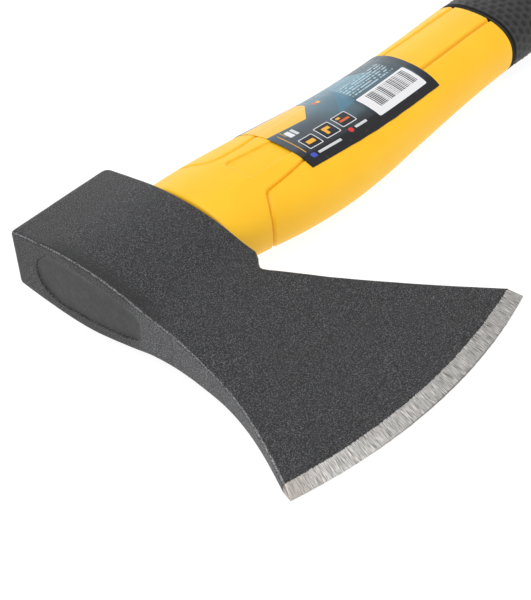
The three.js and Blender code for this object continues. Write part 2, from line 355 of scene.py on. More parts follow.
def head_grids():
    corner_steps, cheek_steps, strip_steps, rim_steps, wall_steps = 5, 118, 12, 5, 6
    rows, first_eye, after_eye = head_rows()
    near_reach, far_reach, bow, end_x, under_x, half = rows.T[:, :, None]
    rounding = np.minimum(EDGE_ROUNDING, half * 0.6)
    turn = np.linspace(0, math.pi / 2, corner_steps + 1)[None, :]
    along = np.linspace(0, 1, cheek_steps + 1)[None, 1:-1]
    cheek_x = (under_x - rounding) * (1 - along) + (end_x + rounding) * along
    x = np.concatenate([
        under_x - rounding * (1 - np.cos(turn)), cheek_x, end_x + rounding * (1 - np.sin(turn)),
    ], 1)
    z = np.concatenate([
        half - rounding * (1 - np.sin(turn)), half + 0 * cheek_x, half - rounding * (1 - np.cos(turn)),
    ], 1)
    across = (x - end_x) / (under_x - end_x)
    reach = near_reach + (far_reach - near_reach) * across + bow * 4 * across * (1 - across)
    cheek = np.stack([x, -reach, z], -1)

    eye = eye_outline(after_eye - first_eye)
    rim = eye + outward(eye) * RIM_ROUNDING
    inner_reach, inner_z = near_reach[:, 0].copy(), np.zeros(len(rows))
    inner_reach[first_eye:after_eye], inner_z[first_eye:after_eye] = rim.T
    inner_z[[first_eye, after_eye - 1]] = 0

    def strip(border, side_line):
        """From the cheek's rounded corner to the rim of the eye, or to the mid plane past the eye."""
        step = np.linspace(0, 1, strip_steps + 1)[None, :]
        strip_z = border[:, None, 2] * (1 - step) + inner_z[:, None] * step
        border_reach = -border[:, None, 1]
        goal = np.where(np.arange(len(rows))[:, None] < after_eye, inner_reach[:, None], border_reach)
        strip_reach = border_reach * (1 - step) + goal * step
        strip_x = border[:, None, 0] + side_line(strip_reach) - side_line(border_reach)
        return np.stack([strip_x, -strip_reach, strip_z], -1)

    end_strip = strip(cheek[:, -1], end_line)
    under_strip = strip(cheek[:, 0], underside_line)
    end_rim = rim_grid(eye, end_line, 1, rim_steps)
    under_rim = rim_grid(eye, underside_line, -1, rim_steps)[:, ::-1]
    wall = between(end_rim[:, -1], under_rim[:, 0], wall_steps)
    caps = [cap(cheek[0], strip_steps), cap(cheek[-1], strip_steps)]
    return [cheek, end_strip, under_strip, end_rim, wall, under_rim, *caps]


def rim_grid(eye, side_line, inwards, steps):
    """The rounded rim of the eye, from the head's face into the hole."""
    turn = np.linspace(0, math.pi / 2, steps + 1)
    out = outward(eye)
    columns = []
    for angle in turn:
        line = eye + out * RIM_ROUNDING * (1 - math.sin(angle))
        line[[0, -1], 1] = 0
        depth = RIM_ROUNDING * (1 - math.cos(angle))
        columns.append(np.stack([side_line(line[:, 0]) + inwards * depth, -line[:, 0], line[:, 1]], -1))
    return np.stack(columns, 1)


def cap(border, steps):
    """Closes a section from its upper border to the mid plane."""
    step = np.linspace(0, 1, steps + 1)[:, None]
    grid = np.repeat(border[None], steps + 1, 0)
    grid[:, :, 2] = border[None, :, 2] * (1 - step)
    return grid


# Relief of the head as (depth, size, seed): waves in the forged faces, and nicks in the cutting edge.
FORGED_WAVES = ((0.09, 17, 3), (0.035, 5, 8), (0.012, 1.6, 5))
NICKS = ((0.10, 1.7, 11), (0.05, 0.8, 17))


def relief(points, layers):
    return sum(depth * wander(points, size, seed) for depth, size, seed in layers)


def axe_head():
    piece = build("head", head_grids(), painted_steel(), mirrored=True, sharp=40)
    mesh = piece.data
    points = positions(mesh)
    x, reach, z = points[:, 0], -points[:, 1], points[:, 2]
    across = (x - end_line(BEVEL_START)) / (underside_line(BEVEL_START) - end_line(BEVEL_START))
    across = np.clip(across, 0, 1)
    bow = (HEAD_REACH - BEVEL_WIDTH - BEVEL_START) * 4 * across * (1 - across)
    ground = reach - BEVEL_START - bow - BEVEL_LEAN * (2 * across - 1)
    painted = smoothstep(0.5, -3, ground)
    down = np.clip(ground / BEVEL_WIDTH, 0, 1)
    first_x = end_line(BEVEL_START) * (1 - down) + TOE[0] * down
    last_x = underside_line(BEVEL_START) * (1 - down) + HEEL[0] * down
    along_edge = (x - first_x) / (last_x - first_x) * (HEEL[0] - TOE[0])
    nicks = relief(points, NICKS) * smoothstep(4.0, 5.5, ground)
    points += normals(mesh) * (relief(points, FORGED_WAVES) * painted)[:, None]
    points[:, 1] += nicks
    set_positions(mesh, points)

    from_cheek = np.abs(z) - cheek_half_thickness(reach)
    from_end = x - end_line(reach)
    end_edge = np.hypot(from_end, from_cheek)
    under_edge = np.hypot(x - underside_line(reach), from_cheek)
    add_value(mesh, "ground", ground)
    add_value(mesh, "edge", np.minimum(end_edge, under_edge))
    # Painted shade on the cheek beside the end edge, next to the eye.
    beside_eye = smoothstep(10, 22, reach) * smoothstep(78, 50, reach) * smoothstep(-0.6, -0.1, from_cheek)
    add_value(mesh, "painted_shade_by_edge", beside_eye * smoothstep(9, 1, from_end))
    # Painted reflection: the coat is lighter down the end face towards the toe.
    reflection_on_end_face = smoothstep(0.6, 0.2, from_end) * smoothstep(0.1, -0.3, from_cheek)
    add_value(mesh, "painted_reflection_face", reflection_on_end_face * smoothstep(50, 60, reach) * smoothstep(137, 126, reach))
    add_uv(mesh, along_edge, reach)
    settle(piece, ["axe_head"])


# ---- Resin in the eye ----
RESIN_WAVES = ((0.05, 7, 2), (0.02, 2, 4))


def eye_resin():
    """The potting compound: a nearly flush face that creeps up the wall of the eye, over a closed plug."""
    outline = eye_outline(90)
    wall = outline - outward(outline) * 0.03
    wall[[0, -1], 1] = 0
    spine = np.stack([np.clip(wall[:, 0], EYE_START + 9, EYE_END - 5), 0 * wall[:, 1]], 1)
    columns = []
    for step in np.linspace(0, 1, 24) ** 0.8:
        line = wall * (1 - step) + spine * step
        from_wall = np.linalg.norm(line - wall, axis=1)
        depth = RESIN_DEPTH - RESIN_CREEP * np.exp(-from_wall / 0.8)
        columns.append(np.stack([end_line(line[:, 0]) + depth, -line[:, 0], line[:, 1]], -1))
    face = np.stack(columns, 1)
    core = core_outline(wall, CLEARANCE)
    rings = [face[:, 0], at_x(wall, RESIN_END), at_x(core, RESIN_END), at_x(core, RESIN_OVER_CORE)]
    sides = [between(first, last, 4) for first, last in zip(rings, rings[1:])]
    grids = [face, *sides, cap(rings[-1], 3)]
    piece = build("eye_resin", grids, dark_resin(), mirrored=True)
    mesh = piece.data
    points = positions(mesh)
    front = points[:, 0] < 3
    points[front, 0] += relief(points[front], RESIN_WAVES)
    set_positions(mesh, points)
    loop = np.concatenate([outline, outline[::-1] * (1, -1)])
    flat = np.stack([-points[:, 1], points[:, 2]], 1)
    from_wall = np.min(np.linalg.norm(flat[:, None] - loop[None, ::3], axis=2), axis=1)
    add_value(mesh, "from_wall", from_wall)
    settle(piece, ["eye_filler"])


def at_x(line, x):
    return np.stack([np.full(len(line), float(x)), -line[:, 0], line[:, 1]], -1)


def between(first, last, steps):
    step = np.linspace(0, 1, steps + 1)[None, :, None]
    return first[:, None] * (1 - step) + last[:, None] * step


def core_outline(like, grow):
    """(reach, z) points on the upper half of the core's section, one for each point of another outline."""
    share = np.linspace(-1, 1, len(like))
    radius = CORE_THICKNESS / 2 + grow
    straight = CORE_WIDTH / 2 - CORE_THICKNESS / 2
    quarter = straight + radius * math.pi / 2
    walked = np.abs(share) * quarter
    angle = np.clip((walked - straight) / radius, 0, math.pi / 2)
    side = np.minimum(walked, straight) + radius * np.sin(angle)
    up = radius * np.cos(angle)
    up[[0, -1]] = 0
    return np.stack([CORE_REACH + np.sign(share) * side, up], 1)


# ---- Handle ----
def section_shape(x):
    """Points on a quarter of the section at x: their share of its length, and of the half width and the
    half thickness. The quarter's length comes last."""
    angle = np.linspace(0, math.pi / 2, 500)
    side = np.sin(angle) ** (2 / SECTION_POWER)
    up = np.cos(angle) ** (2 / SECTION_POWER)
    up[-1] = 0
    steps = np.hypot(np.diff(side) * handle_half_width(x), np.diff(up) * handle_half_thickness(x))
    walked = np.concatenate([[0], np.cumsum(steps)])
    return walked / walked[-1], side, up, walked[-1]


def quarter_length(x):
    """Length round the section from its crown to the mid plane, in mm."""
    places = np.linspace(GRIP_START - 160, OVERALL_LENGTH, 60)
    return np.interp(x, places, [section_shape(place)[3] for place in places])


def handle_surface(x, share, lift=0.0, grow=0.0):
    """Points on the upper half of the handle. share runs from -1 at the back over 0 at the crown to 1 at
    the front. lift moves a point along the surface's normal, and grow makes the section larger."""
    x, share, lift, grow = (np.array(value, float) for value in np.broadcast_arrays(x, share, lift, grow))
    side, up = np.empty_like(x), np.empty_like(x)
    for row in range(len(x)):
        table, sides, ups, _ = section_shape(x[row].mean())
        side[row] = np.interp(np.abs(share[row]), table, sides)
        up[row] = np.interp(np.abs(share[row]), table, ups)
    half_width, half_thickness = handle_half_width(x) + grow, handle_half_thickness(x) + grow
    steep = SECTION_POWER - 1
    normal = np.stack([side**steep / half_width, up**steep / half_thickness], -1)
    normal /= np.linalg.norm(normal, axis=-1)[..., None]
    reach = handle_reach(x) + np.sign(share) * (side * half_width + lift * normal[..., 0])
    return np.stack([x, -reach, up * half_thickness + lift * normal[..., 1]], -1)


def distance_to_path(x, arc, path):
    """Distance from each (x, arc) to a path of straight runs."""
    nearest = np.full(x.shape, 1e9)
    for (x0, a0), (x1, a1) in zip(path[:-1], path[1:]):
        way = np.array([x1 - x0, a1 - a0])
        t = np.clip(((x - x0) * way[0] + (arc - a0) * way[1]) / (way @ way), 0, 1)
        nearest = np.minimum(nearest, np.hypot(x - x0 - t * way[0], arc - a0 - t * way[1]))
    return nearest


# Grooves and plaque, as (x, distance round the section from the crown), + towards the front.
BACK_GROOVE = [
    (58.2, -32), (58.6, -23), (60, -16.2), (62.3, -11.6), (64, -9.6), (66.2, -8.8), (69.4, -8.6),
    (77.2, -8.8), (84.9, -10.1), (120, -12.2), (157, -11.3), (172, -10.5), (203, -9),
]
FRONT_GROOVE = [
    (63, 36), (62.3, 33), (61.8, 28.1), (62.8, 22.9), (65, 18.1), (66.2, 16), (67.5, 15.0), (77.6, 13.3),
    (84.9, 11.7), (120, 8.2), (155.1, 6.8), (182.8, 7), (203, 7.6),
]
PLAQUE_MIDDLE = (81, 1.4)
PLAQUE_HALF = (14.4, 5.0)
PLAQUE_CORNER = 1.6
PLAQUE_SLANT = 0.055
PLAQUE_DEPTH = 0.6
# Strength of the painted shade along the plaque's border.
PLAQUE_SHADE_LINE = 0.78
GROOVE_DEPTH = 0.95
GROOVE_REACH = 0.75
GROOVE_WIDENING = 0.4
JACKET_LIP = 0.7
SEAM_DROP = 0.5
NEAR_HEAD = 55


def jacket_relief(x, arc):
    """Height of the moulded detail on the jacket: two grooves and a shallow recessed plaque."""
    wide = GROOVE_REACH + GROOVE_WIDENING * smoothstep(86, 156, x)
    height = np.zeros(x.shape)
    for path in (BACK_GROOVE, FRONT_GROOVE):
        gap = distance_to_path(x, arc, path) / wide
        height -= GROOVE_DEPTH * smoothstep(1, 0.1, gap)
    return height - PLAQUE_DEPTH * smoothstep(0.3, -0.2, plaque_gap(x, arc))


def plaque_gap(x, arc):
    """Distance outside the plaque's rounded outline, less than 0 inside it."""
    middle = PLAQUE_MIDDLE[1] - (x - PLAQUE_MIDDLE[0]) * PLAQUE_SLANT * np.sign(arc - PLAQUE_MIDDLE[1])
    over = np.stack([np.abs(x - PLAQUE_MIDDLE[0]) - PLAQUE_HALF[0], np.abs(arc - middle) - PLAQUE_HALF[1]])
    outside = np.linalg.norm(np.maximum(over + PLAQUE_CORNER, 0), axis=0) - PLAQUE_CORNER
    return np.where(outside > -PLAQUE_CORNER, outside, over.max(axis=0))


def jacket_shares():
    """Places round the jacket, close together where the grooves run."""
    back = np.linspace(-1, -0.66, 14)[:-1]
    crown = np.linspace(-0.66, 0.70, 118)
    front = np.linspace(0.70, 1, 14)[1:]
    return np.concatenate([back, crown, front])


def jacket_rows(seam):
    """x of the skin's rows, which start along the seam and stand close together where the grooves turn."""
    near = np.linspace(0, 1, 18)[:, None]
    near_x = seam[None] * (1 - near) + NEAR_HEAD * near
    turning = np.arange(NEAR_HEAD + 0.35, 72, 0.36)
    straight = np.arange(88, GRIP_START - CLEARANCE - 1, 0.85)
    rows = np.concatenate([turning, np.arange(72, 88, 0.5), straight])
    return np.concatenate([near_x, np.repeat(rows[:, None], len(seam), 1)])


def seam_x(share):
    """Where the jacket meets the underside of the head."""
    x = np.full(share.shape, 45.0)
    for _ in range(3):
        reach = -handle_surface(x[None], share[None])[0, :, 1]
        x = underside_line(reach) + CLEARANCE
    return x


def handle_jacket():
    share = jacket_shares()
    seam = seam_x(share)
    x = jacket_rows(seam)
    arc = share[None] * quarter_length(x)
    height = jacket_relief(x, arc)
    skin = handle_surface(x, share[None], height - SEAM_DROP * smoothstep(0.5, 0, x - seam[None]))

    end = GRIP_START - CLEARANCE
    turn = np.linspace(0, math.pi / 2, 6)[:, None]
    lip_x = end - JACKET_LIP + JACKET_LIP * np.sin(turn) + 0 * share[None]
    lip_height = jacket_relief(lip_x, share[None] * quarter_length(lip_x))
    lip_skin = handle_surface(lip_x, share[None], lip_height - JACKET_LIP * (1 - np.cos(turn)))
    tail_x = np.concatenate([[end], np.linspace(end, TAIL_END, 10)])[:, None]
    tail = handle_surface(tail_x, share[None], grow=-(GRIP_WALL + CLEARANCE))
    core = core_outline(share, CLEARANCE)
    start = np.stack([seam, -core[:, 0], core[:, 1]], -1)
    socket_end = at_x(core, CORE_END + CLEARANCE)
    grids = [
        skin, between(skin[-1], lip_skin[0], 1).swapaxes(0, 1), lip_skin,
        between(lip_skin[-1], tail[0], 3).swapaxes(0, 1), tail[1:], cap(tail[-1], 3),
        between(skin[0], start, 3), between(start, socket_end, 8), cap(socket_end, 3),
    ]
    piece = build("handle_jacket", grids, yellow_plastic(), mirrored=True, sharp=55)
    points = positions(piece.data)
    points[:, 2] = np.abs(points[:, 2])
    known = np.concatenate([skin.reshape(-1, 3), lip_skin.reshape(-1, 3)])
    # Painted shade in the grooves and along the plaque's border, from how deep each point lies.
    gap = plaque_gap(x, arc)
    plaque_shade_line = PLAQUE_SHADE_LINE * smoothstep(0.5, 0.1, np.abs(gap))
    painted_groove_shade = np.concatenate([np.where(gap < 0.5, plaque_shade_line, -height).ravel(), -lip_height.ravel()])
    painted_groove_shade = painted_groove_shade[nearest_rows(points, known)] * (points[:, 0] < end - JACKET_LIP)
    add_value(piece.data, "painted_groove_shade", painted_groove_shade)
    settle(piece, ["handle_body"])


# ---- Rubber grip ----
SCALE_PITCH = 3.3
SCALES_PER_QUARTER = 7
RIM_END = 198.9
TEXTURE_START = 200.1
TEXTURE_END = 322.0
SCALE_DEPTH = 0.62
RIM_GROOVE_DEPTH = 1.1
GRIP_START_ROUNDING = 0.45
SLOT_ROUNDING = 2.2


def scale_relief(x, share):
    """Overlapping round scales, each one over the next towards the butt. 0 is the lowest, 1 the highest."""
    across = share * SCALES_PER_QUARTER
    along = x / SCALE_PITCH
    radius = 1.02
    height = np.full(x.shape, -1.0)
    first_row = np.floor(along).astype(int)
    for step in (-1, 0, 1):
        row = first_row + step
        shift = 0.5 * (row % 2)
        centre = np.round(across - shift) + shift
        gap = np.hypot((along - row) * 0.98, (across - centre) * 1.25) / radius
        inside = (gap < 1) & (height < 0)
        height = np.where(inside, 0.15 + 0.85 * gap**2, height)
    return np.maximum(height, 0)


def slot_gap(x, reach):
    """Distance outside the hanging slot's outline."""
    straight = (SLOT_LENGTH - SLOT_WIDTH) / 2
    return np.hypot(np.maximum(np.abs(x - SLOT_X) - straight, 0), reach - SLOT_REACH) - SLOT_WIDTH / 2


def rubber_grip():
    share = np.linspace(-1, 1, 169)
    end = OVERALL_LENGTH - BUTT_ROUNDING
    rows = np.concatenate([
        np.linspace(GRIP_START, TEXTURE_START + 0.4, 16),
        np.arange(TEXTURE_START + 0.7, end - 0.3, 0.65), [end],
    ])
    x = rows[:, None] + 0 * share[None]
    base = handle_surface(x, share[None])
    textured = smoothstep(TEXTURE_START, TEXTURE_START + 1, x) * smoothstep(TEXTURE_END + 6, TEXTURE_END, x)
    below_top = textured * (1 - scale_relief(x, share[None]))
    groove = smoothstep(RIM_END - 0.25, RIM_END + 0.15, x)
    groove *= smoothstep(TEXTURE_START + 0.35, TEXTURE_START - 0.1, x)
    start_rounding = GRIP_START_ROUNDING * smoothstep(GRIP_START + 0.8, GRIP_START, x) ** 2
    slot_rounding = stand_back(SLOT_ROUNDING, np.maximum(slot_gap(x, -base[..., 1]), 0))
    lift = -SCALE_DEPTH * below_top - RIM_GROOVE_DEPTH * groove - start_rounding - slot_rounding
    outer = handle_surface(x, share[None], lift)

    turn = np.linspace(0, math.pi / 2, 15)[1:, None]
    butt_x = OVERALL_LENGTH - BUTT_ROUNDING * (1 - np.sin(turn))
    butt = handle_surface(butt_x, share[None], grow=-BUTT_ROUNDING * (1 - np.cos(turn)))
    inner_x = np.linspace(GRIP_START, TAIL_END + CLEARANCE, 10)[:, None]
    inner = handle_surface(inner_x, share[None], grow=-GRIP_WALL)
    grids = [
        outer, between(outer[-1], butt[0], 1).swapaxes(0, 1), butt, cap(butt[-1], 6),
        between(outer[0], inner[0], 3), inner, cap(inner[-1], 3),
    ]
    piece = build("rubber_grip", grids, black_rubber(), mirrored=True, sharp=60)
    cut_slot(piece)
    shade(piece.data, 60)
    points = positions(piece.data)
    points[:, 2] = np.abs(points[:, 2])
    # Painted shade between the scales, from how far below their tops each point lies.
    add_value(piece.data, "low", below_top.ravel()[nearest_rows(points, outer.reshape(-1, 3))])
    add_value(piece.data, "rim", smoothstep(TEXTURE_START + 0.4, TEXTURE_START - 0.2, points[:, 0]))
    settle(piece, ["grip"])


def cut_slot(piece):
    """Cuts the hanging slot right through the butt."""
    straight, radius = (SLOT_LENGTH - SLOT_WIDTH) / 2, SLOT_WIDTH / 2
    angles = np.linspace(-math.pi / 2, math.pi / 2, 25)
    near = np.stack([SLOT_X + straight + radius * np.cos(angles), SLOT_REACH + radius * np.sin(angles)], 1)
    far = np.stack([SLOT_X - straight - radius * np.cos(angles), SLOT_REACH - radius * np.sin(angles)], 1)
    outline = np.concatenate([near, far])
    count = len(outline)
    points = [np.column_stack([outline[:, 0], -outline[:, 1], np.full(count, z)]) for z in (-30.0, 30.0)]
    sides = [(k, (k + 1) % count, (k + 1) % count + count, k + count) for k in range(count)]
    mesh = bpy.data.meshes.new("slot_cutter")
    ends = [tuple(range(count))[::-1], tuple(range(count, 2 * count))]
    mesh.from_pydata(place(np.concatenate(points)).tolist(), [], sides + ends)
    close_up(mesh)
    cutter = add_object("slot_cutter", mesh)
    cut = piece.modifiers.new("slot", "BOOLEAN")
    cut.object = cutter
    cut.operation = "DIFFERENCE"
    cut.solver = "EXACT"
    bpy.context.view_layer.update()
    shown = piece.evaluated_get(bpy.context.evaluated_depsgraph_get())
    old, piece.data = piece.data, bpy.data.meshes.new_from_object(shown)
    piece.modifiers.clear()
    bpy.data.objects.remove(cutter)
    bpy.data.meshes.remove(mesh)
    bpy.data.meshes.remove(old)
    piece.data.name = piece.name


# ---- Label ----
def wrapped_point(x, arc, lift):
    """Points at a distance round the section from the crown, over the back and on to the lower half."""
    quarter = quarter_length(x)
    share = arc / quarter
    below = share < -1
    share = np.where(below, -2 - share, share)
    points = handle_surface(x, share, lift)
    points[..., 2] *= np.where(below, -1, 1)
    return points


def wrap_label():
    """A printed film round the handle. It bridges the grooves, and sags into them a little."""
    along = np.linspace(0, 1, 96)[:, None]
    across = np.linspace(0, 1, 84)[None, :]
    ragged_start = np.array([0.16 * noise.noise(Vector((a * 11, 3, 0))) for a in across[0]])
    ragged_front = np.array([0.12 * noise.noise(Vector((a * 14, 7, 0))) for a in along[:, 0]])
    start = LABEL_START + ragged_start[None]
    front = LABEL_FRONT + ragged_front[:, None]
    x = start * (1 - along) + LABEL_END * along
    arc = LABEL_BACK * (1 - across) + front * across
    ripple = [[abs(noise.noise(Vector((p, q, 5)) / 9)) for p, q in zip(*row)] for row in zip(x, arc)]
    lift = FILM_GAP + FILM_RIPPLE * np.array(ripple)
    inner = wrapped_point(x, arc, lift)
    outer = wrapped_point(x, arc, lift + FILM_THICKNESS + FILM_SAG * jacket_relief(x, arc))
    ends = [between(inner[row], outer[row], 1) for row in (0, -1)]
    sides = [between(inner[:, column], outer[:, column], 1) for column in (0, -1)]
    grids = [inner, outer, *ends, *sides]
    piece = build("wrap_label", grids, printed_film(), sharp=50)
    mesh = piece.data
    points = positions(mesh)
    lines = np.concatenate([np.stack([x, arc], -1).reshape(-1, 2)] * 2)
    known = np.concatenate([inner.reshape(-1, 3), outer.reshape(-1, 3)])
    nearest = nearest_rows(points, known)
    add_uv(mesh, lines[nearest, 0], lines[nearest, 1])
    settle(piece, ["label"])


def nearest_rows(points, known):
    """For each point, the row of the known point at the same place."""
    tree = KDTree(len(known))
    for row, point in enumerate(known):
        tree.insert(Vector(point), row)
    tree.balance()
    return np.array([tree.find(Vector(point))[1] for point in points])


# ---- Materials ----
def colour(red, green, blue):
    """A colour from its sRGB values of 0 to 255."""
    parts = np.array([red, green, blue]) / 255
    linear = np.where(parts <= 0.04045, parts / 12.92, ((parts + 0.055) / 1.055) ** 2.4)
    return (*linear.tolist(), 1.0)


class Surface:
    """A material with one Principled shader, and short calls for the nodes that feed it."""

    def __init__(self, name, specular=0.5):
        self.material = bpy.data.materials.new(name)
        self.material.use_nodes = True
        self.tree = self.material.node_tree
        self.shader = self.tree.nodes["Principled BSDF"]
        self.shader.inputs["Specular IOR Level"].default_value = specular
        self.place = self.scaled(self.node("TexCoord", {}, output="Object"), 1 / MM)

    def set(self, socket, value):
        self.give(self.shader.inputs[socket], value)

    def give(self, socket, value):
        if isinstance(value, bpy.types.NodeSocket):
            self.tree.links.new(value, socket)
        else:
            socket.default_value = value

    def node(self, kind, settings, *inputs, output=0):
        node = self.tree.nodes.new("ShaderNode" + kind)
        for name, value in settings.items():
            setattr(node, name, value)
        for socket, value in zip(node.inputs, inputs):
            if value is not None:
                self.give(socket, value)
        return node.outputs[output]

    def math(self, operation, *inputs):
        return self.node("Math", {"operation": operation}, *inputs)

    def vector(self, operation, *inputs, output=0):
        return self.node("VectorMath", {"operation": operation}, *inputs, output=output)

    def both(self, first, second):
        return self.math("MULTIPLY", first, second)

    def scaled(self, vector, factor):
        factors = (factor,) * 3 if isinstance(factor, float) else factor
        return self.vector("MULTIPLY", vector, factors)

    def uv(self):
        """The surface UV map, in millimetres."""
        return self.scaled(self.node("UVMap", {"uv_map": "surface"}), 1 / MM)

    def value(self, name):
        """A value that the mesh holds for each of its points."""
        return self.node("Attribute", {"attribute_name": name}, output="Fac")

    def noise(self, vector, size, detail=2.0, roughness=0.5):
        """Smooth noise from 0 to 1 with bumps of about that size in mm, which may differ along each axis."""
        factor = 1 / size if isinstance(size, (int, float)) else tuple(1 / part for part in size)
        return self.node("TexNoise", {}, self.scaled(vector, factor), None, 1.0, detail, roughness)

    def ramp(self, value, low, high, start=0.0, end=1.0):
        """Rises smoothly from start at low to end at high."""
        return self.node("MapRange", {"interpolation_type": "SMOOTHSTEP"}, value, low, high, start, end)

    def mix(self, factor, first, second):
        not_colours = [None] * 5
        return self.node("Mix", {"data_type": "RGBA"}, factor, *not_colours, first, second, output=2)

    def bump(self, height, depth, normal=None):
        """Relief of that depth in mm, where height goes from 0 to 1."""
        node = self.tree.nodes.new("ShaderNodeBump")
        node.inputs["Distance"].default_value = depth * MM
        self.give(node.inputs["Height"], height)
        if normal is not None:
            self.give(node.inputs["Normal"], normal)
        return node.outputs["Normal"]

    def finish(self, base, fine, smooth, rough, depth):
        """Sets the colour, and a roughness and a relief that follow the fine noise."""
        self.set("Base Color", base)
        self.set("Roughness", self.ramp(fine, 0.3, 0.7, smooth, rough))
        self.set("Normal", self.bump(fine, depth))
        return self.material


def painted_steel():
    """Dark powder coat, worn and with a painted highlight on the edges, painted shade beside the end edge, a
    painted reflection down the end face, and a ground bevel of bare steel.
    """
    look = Surface("painted_steel")
    place = look.place
    uv = look.uv()
    grain = look.noise(place, 0.42, 2.0, 0.6)
    fine = look.noise(place, 0.22, 1.0)
    patches = look.noise(place, 9, 3.0)
    speckle = look.ramp(grain, 0.51, 0.62)
    coat = look.mix(speckle, colour(2, 2, 4), colour(86, 86, 90))
    coat = look.mix(look.ramp(patches, 0.35, 0.7, 0.0, 0.25), coat, colour(34, 34, 36))
    # Painted shade darkens the cheek beside the end edge.
    coat = look.mix(look.ramp(look.value("painted_shade_by_edge"), 0.0, 1.0, 0.0, 0.75), coat, colour(6, 6, 8))
    # A painted reflection lightens the end face towards the toe.
    pale = look.both(look.value("painted_reflection_face"), look.ramp(grain, 0.42, 0.64, 0.03, 0.2))
    coat = look.mix(pale, coat, colour(170, 170, 173))
    # Along the edges the coat is worn, and a painted highlight lies over the wear.
    edge_wear_and_glint = look.ramp(look.value("edge"), 0.72, 0.34)
    speckled_wear_and_glint = look.both(edge_wear_and_glint, look.ramp(grain, 0.36, 0.58))
    coat = look.mix(speckled_wear_and_glint, coat, colour(150, 150, 152))

    lines = look.noise(uv, (0.26, 3.4, 1.0), 3.0, 0.65)
    smears = look.noise(uv, (2.2, 3.0, 1.0), 2.0)
    steel = look.mix(look.ramp(lines, 0.32, 0.68), colour(110, 107, 104), colour(240, 237, 234))
    steel = look.mix(look.ramp(smears, 0.3, 0.75, 0.0, 0.4), steel, colour(182, 179, 176))
    from_toe = look.node("SeparateXYZ", {}, uv)
    steel = look.mix(look.ramp(from_toe, 14.0, 1.0, 0.0, 0.55), steel, colour(150, 139, 132))
    # The steel is darker along the cutting edge.
    darker_edge_line = look.ramp(look.value("ground"), BEVEL_WIDTH - 0.5, BEVEL_WIDTH - 0.05, 0.0, 0.65)
    steel = look.mix(darker_edge_line, steel, colour(96, 93, 90))
    ragged = look.ramp(look.noise(place, 0.7, 3.0, 0.6), 0.25, 0.75, -0.22, 0.22)
    border = look.math("ADD", look.value("ground"), ragged)
    bare = look.ramp(border, -0.06, 0.06)

    look.set("Base Color", look.mix(bare, coat, steel))
    look.set("Metallic", bare)
    coat_roughness = look.ramp(fine, 0.3, 0.7, 0.42, 0.62)
    steel_roughness = look.ramp(lines, 0.3, 0.7, 0.32, 0.48)
    look.set("Roughness", look.ramp(bare, 0, 1, coat_roughness, steel_roughness))
    relief = look.ramp(bare, 0, 1, grain, look.ramp(lines, 0.0, 1.0, 0.4, 0.65))
    coated = look.bump(relief, 0.2)
    look.set("Normal", look.bump(fine, 0.014, coated))
    return look.material


def dark_resin():
    """Nearly black resin, with a brown tinge in places along the wall of the eye."""
    look = Surface("eye_resin", specular=0.38)
    clouds = look.noise(look.place, (14, 5, 5), 3.0)
    fine = look.noise(look.place, 0.9, 3.0)
    base = look.mix(look.ramp(clouds, 0.35, 0.65), colour(24, 24, 26), colour(34, 34, 36))
    near_wall = look.ramp(look.value("from_wall"), 0.5, 0.1)
    rim = look.both(near_wall, look.ramp(clouds, 0.42, 0.56))
    base = look.mix(rim, base, colour(104, 84, 68))
    return look.finish(base, fine, 0.34, 0.46, 0.02)


def yellow_plastic():
    """Moulded plastic, with painted shade in its grooves and along the plaque's border, and a few specks of
    dust.
    """
    look = Surface("yellow_plastic", specular=0.42)
    fine = look.noise(look.place, 0.35, 2.0)
    patches = look.noise(look.place, 16, 3.0)
    dust = look.ramp(look.noise(look.place, 1.3, 3.0, 0.7), 0.70, 0.78)
    base = look.mix(look.ramp(patches, 0.3, 0.7), colour(255, 193, 22), colour(255, 197, 30))
    base = look.mix(look.both(dust, 0.15), base, colour(205, 150, 40))
    # Painted shade darkens the grooves and the plaque's border.
    base = look.mix(look.ramp(look.value("painted_groove_shade"), 0.42, 0.85, 0.0, 0.75), base, colour(230, 160, 12))
    return look.finish(base, fine, 0.42, 0.54, 0.012)


def black_rubber():
    """Dull rubber, with painted shade between the scales, and darker at the rim."""
    look = Surface("black_rubber", specular=0.4)
    fine = look.noise(look.place, 0.4, 3.0, 0.6)
    patches = look.noise(look.place, 6, 3.0)
    base = look.mix(look.ramp(fine, 0.3, 0.7), colour(44, 43, 43), colour(58, 57, 57))
    base = look.mix(look.ramp(patches, 0.4, 0.75, 0.0, 0.3), base, colour(70, 69, 69))
    # Painted shade darkens the rubber between the scales.
    base = look.mix(look.ramp(look.value("low"), 0.35, 0.9), base, colour(18, 18, 18))
    base = look.mix(look.value("rim"), base, colour(18, 17, 17))
    return look.finish(base, fine, 0.46, 0.62, 0.03)


def glass_fibre():
    """Pulled glass fibre in resin: pale, with long, narrow strands."""
    look = Surface("glass_fibre")
    strands = look.noise(look.place, (40, 0.5, 0.5), 3.0, 0.6)
    base = look.mix(look.ramp(strands, 0.3, 0.7), colour(196, 186, 140), colour(228, 222, 190))
    return look.finish(base, strands, 0.35, 0.55, 0.05)


